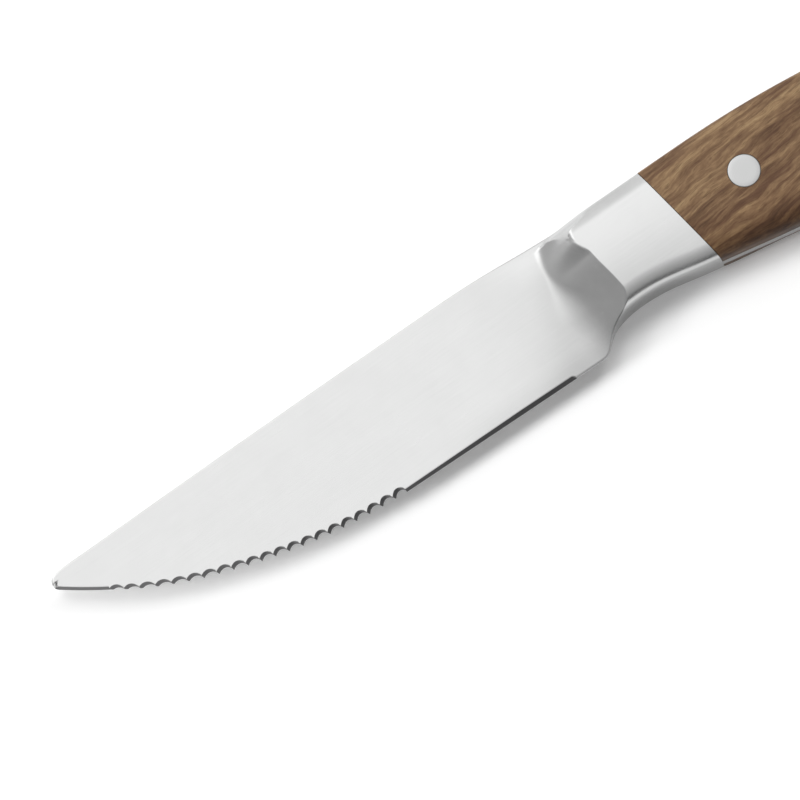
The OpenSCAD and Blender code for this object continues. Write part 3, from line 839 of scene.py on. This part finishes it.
# Floor
floor_mesh = bpy.data.meshes.new("floor")
floor_mesh.from_pydata([(-4, -4, 0), (4, -4, 0), (4, 4, 0), (-4, 4, 0)], [], [(0, 1, 2, 3)])
floor = bpy.data.objects.new("floor", floor_mesh)
bpy.context.scene.collection.objects.link(floor)
floor_material = bpy.data.materials.new("plain_floor")
floor_material.use_nodes = True
n = Nodes(floor_material.node_tree)
paper = n.noise(n.add("ShaderNodeTexCoord").outputs["Object"], 40.0, 2)
tone = n.ramp(paper, [(0.0, 0.945), (1.0, 0.955)])
surface = n.add("ShaderNodeBsdfDiffuse", {"Color": tone})
rays = n.add("ShaderNodeLightPath").outputs
shown = n.maths("MULTIPLY", n.maths("MAXIMUM", rays["Is Camera Ray"], rays["Is Glossy Ray"]), 0.10)
lift = n.add("ShaderNodeEmission", {"Color": (1, 1, 1, 1), "Strength": shown})
both = n.add("ShaderNodeAddShader", {0: surface.outputs[0], 1: lift.outputs[0]})
n.add("ShaderNodeOutputMaterial", {"Surface": both.outputs[0]})
floor_mesh.materials.append(floor_material)

# World: white to the camera; for everything else a soft studio, brightest over the spine's side and dim
# low in front of the cutting edge.
world = bpy.data.worlds.new("studio")
bpy.context.scene.world = world
world.use_nodes = True
n = Nodes(world.node_tree)
way = n.add("ShaderNodeSeparateXYZ", {0: n.add("ShaderNodeTexCoord").outputs["Generated"]}).outputs


def by_part(part, levels):
    """Brightness by one part of a direction, which runs from -1 to 1."""
    return n.ramp(n.maths("MULTIPLY_ADD", part, 0.5, 0.5), [((at + 1) / 2, level) for at, level in levels])


by_y = by_part(way["Y"], (
    (-0.99, 0.13), (-0.96, 0.17), (-0.87, 0.44), (-0.31, 0.77), (0.0, 0.97), (0.09, 1.15), (0.15, 1.30),
    (0.21, 1.40), (0.34, 1.52), (0.45, 1.47), (0.57, 1.33), (0.71, 1.12), (0.87, 0.96)))
by_x = by_part(way["X"], (
    (-0.98, 0.43), (-0.87, 0.44), (-0.72, 0.45), (-0.6, 0.56), (-0.5, 0.70), (-0.3, 0.88), (-0.15, 1.0),
    (-0.1, 1.0), (0.1, 1.0), (0.3, 0.84), (0.55, 0.52), (0.95, 0.25)))
studio = n.mix(1.0, by_y, by_x, "MULTIPLY")
# A bright panel on the tip's side, behind the spine: it lights the rim of the scoop.
height = n.maths("ADD", way["Y"], n.maths("MULTIPLY", way["X"], 0.35))
above = n.ramp(height, [(0.14, 0.0), (0.26, 1.0)])
ahead = n.ramp(n.maths("MULTIPLY", way["X"], -1.0), [(0.07, 0.0), (0.18, 1.0), (0.42, 1.0), (0.58, 0.0)])
PANEL = (1.9, 1.9, 1.9)
studio = n.mix(n.maths("MULTIPLY", above, ahead), studio, PANEL)
rays = n.add("ShaderNodeLightPath").outputs
# The lamps below light the matt surfaces, so the sky itself gives those less.
level = n.maths("ADD", 0.60, n.maths("MULTIPLY", rays["Is Glossy Ray"], 0.40))
sky = n.add("ShaderNodeBackground", {"Color": studio, "Strength": level})
white = n.add("ShaderNodeBackground", {"Color": (1, 1, 1, 1), "Strength": 1.0})
both = n.add("ShaderNodeMixShader", {0: rays["Is Camera Ray"], 1: sky.outputs[0], 2: white.outputs[0]})
n.add("ShaderNodeOutputWorld", {"Surface": both.outputs[0]})

# Key light: one wide soft light over the knife, as four broad lamps in a row along it. It leans towards
# the spine's side, so the shadow falls in front of the cutting edge.
LEAN = math.radians(15.5)
for name, side, energy, width in (
    ("far_left", -62, 0.92, 11), ("left", -38, 0.60, 17), ("middle", 0, 0.58, 21), ("right", 30, 0.48, 19),
):
    lamp_data = bpy.data.lights.new(f"key_{name}", "SUN")
    lamp_data.energy, lamp_data.angle = energy, math.radians(width)
    lamp = bpy.data.objects.new(f"key_{name}", lamp_data)
    lamp.visible_glossy = False
    side = math.radians(side)
    source = Vector((math.sin(side), math.cos(side) * math.sin(LEAN), math.cos(side) * math.cos(LEAN)))
    lamp.rotation_mode = "QUATERNION"
    lamp.rotation_quaternion = source.to_track_quat("Z", "Y")
    bpy.context.scene.collection.objects.link(lamp)

# Camera: turned and tilted as in the photograph, from far away, so that its view is nearly parallel.
TURN, TILT, LENS, SENSOR, SPAN_MM = math.radians(34.5), math.radians(12), 500.0, 36.0, 153.85
right = Vector((math.cos(TURN), -math.cos(TILT) * math.sin(TURN), -math.sin(TILT) * math.sin(TURN)))
up = Vector((math.sin(TURN), math.cos(TILT) * math.cos(TURN), math.sin(TILT) * math.cos(TURN)))
behind = Vector((0, -math.sin(TILT), math.cos(TILT)))
camera_data = bpy.data.cameras.new("camera")
camera_data.lens, camera_data.sensor_width = LENS, SENSOR
camera = bpy.data.objects.new("camera", camera_data)
target = Vector((-0.04814, 0.00698, 0.007))
matrix = Matrix((right, up, behind)).transposed().to_4x4()
matrix.translation = target + behind * (SPAN_MM / 1000 * LENS / SENSOR)
camera.matrix_world = matrix
camera_data.clip_start, camera_data.clip_end = 0.05, 20
bpy.context.scene.collection.objects.link(camera)
bpy.context.scene.camera = camera
bpy.context.scene.view_settings.view_transform = "Standard"
